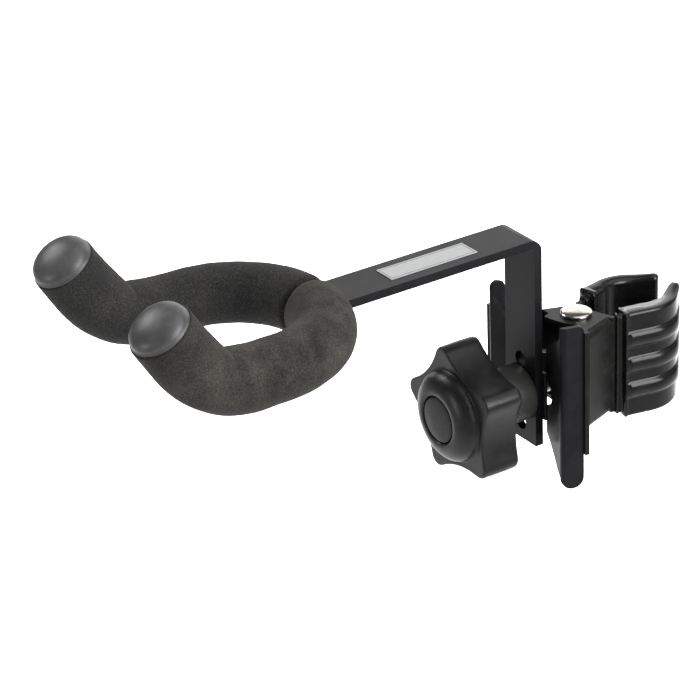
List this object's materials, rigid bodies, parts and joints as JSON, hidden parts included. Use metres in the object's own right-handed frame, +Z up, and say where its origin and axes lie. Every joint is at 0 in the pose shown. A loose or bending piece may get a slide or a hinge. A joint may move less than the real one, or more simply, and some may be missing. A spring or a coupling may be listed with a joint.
{
  "type": "guitar hanger clamp",
  "caption": "Clamp-on guitar hanger: foam-covered yoke on a bent steel arm, held to an upright tube by hinged jaws that a star knob closes.",
  "frame": {"origin": "on the axis of the tube that the jaws hold, at mid-height of the jaws", "axes": "+Z up along the tube, -Y out along the arm towards the yoke, +X towards the jaw with the outer tabs"},
  "size_m": [0.1006, 0.2845, 0.1493],
  "materials": {
    "powder_coat": "satin black powder coat",
    "weld_paint": "satin black powder coat over a weld bead",
    "jaw_paint": "dark grey phosphate and oil finish",
    "bright_nickel": "bright nickel plate",
    "zinc_steel": "zinc plate",
    "spring_steel": "oiled spring wire",
    "rod_steel": "plain drawn steel rod",
    "collar_metal": "black oxide finish",
    "insert_brass": "machined brass",
    "bush_nylon": "natural nylon",
    "knob_nylon": "moulded black nylon, satin gloss",
    "boot_rubber": "dark grey moulded rubber, slightly glossy",
    "cap_rubber": "dark grey satin rubber",
    "foam": "charcoal closed-cell foam, fine matt grain",
    "label_film": "white satin film, blank"
  },
  "bodies": {
    "carrier": {"pivot_rivet": "bright_nickel", "pivot_bush_upper": "bush_nylon", "pivot_bush_lower": "bush_nylon", "eye_bolt": "zinc_steel", "torsion_spring": "spring_steel"},
    "arm": {"arm_bar": "powder_coat", "blank_label": "label_film", "yoke_rod": "rod_steel", "yoke_weld": "weld_paint", "foam_sleeve_right": "foam", "foam_sleeve_left": "foam", "end_cap_right": "cap_rubber", "end_cap_left": "cap_rubber", "wedge_saddle": "knob_nylon", "knob_collar": "collar_metal", "thrust_washer": "zinc_steel"},
    "knob": {"knob_body": "knob_nylon", "knob_insert": "insert_brass", "knob_cap": "knob_nylon"},
    "jaw_right": {"jaw_arm_right": "jaw_paint", "jaw_sleeve_right": "boot_rubber", "lever_right": "powder_coat", "lever_rivets_right": "bright_nickel"},
    "jaw_left": {"jaw_arm_left": "jaw_paint", "jaw_sleeve_left": "boot_rubber", "lever_left": "powder_coat", "lever_rivets_left": "bright_nickel"}
  },
  "joints": [
    {"name": "arm_travel", "type": "slide", "parent": "carrier", "child": "arm", "axis": [0, -1, 0], "range_m": [-0.00098, 0.00328]},
    {"name": "knob_turn", "type": "hinge", "parent": "arm", "child": "knob", "pos_m": [0, -0.078, -0.005], "axis": [0, -1, 0], "range_deg": [-282.5, 945]},
    {"name": "jaw_right_swing", "type": "hinge", "parent": "carrier", "child": "jaw_right", "pos_m": [0, -0.0303, 0], "axis": [0, 0, -1], "range_deg": [-3, 10], "deforming": ["torsion_spring"]},
    {"name": "jaw_left_swing", "type": "hinge", "parent": "carrier", "child": "jaw_left", "pos_m": [0, -0.0303, 0], "axis": [0, 0, 1], "range_deg": [-3, 10]}
  ],
  "couplings": [
    {"joint": "knob_turn", "follows": "arm_travel", "rad_per_m": 5026.5},
    {"joint": "jaw_right_swing", "follows": "arm_travel", "rad_per_m": 53.19},
    {"joint": "jaw_left_swing", "follows": "arm_travel", "rad_per_m": 53.19}
  ]
}
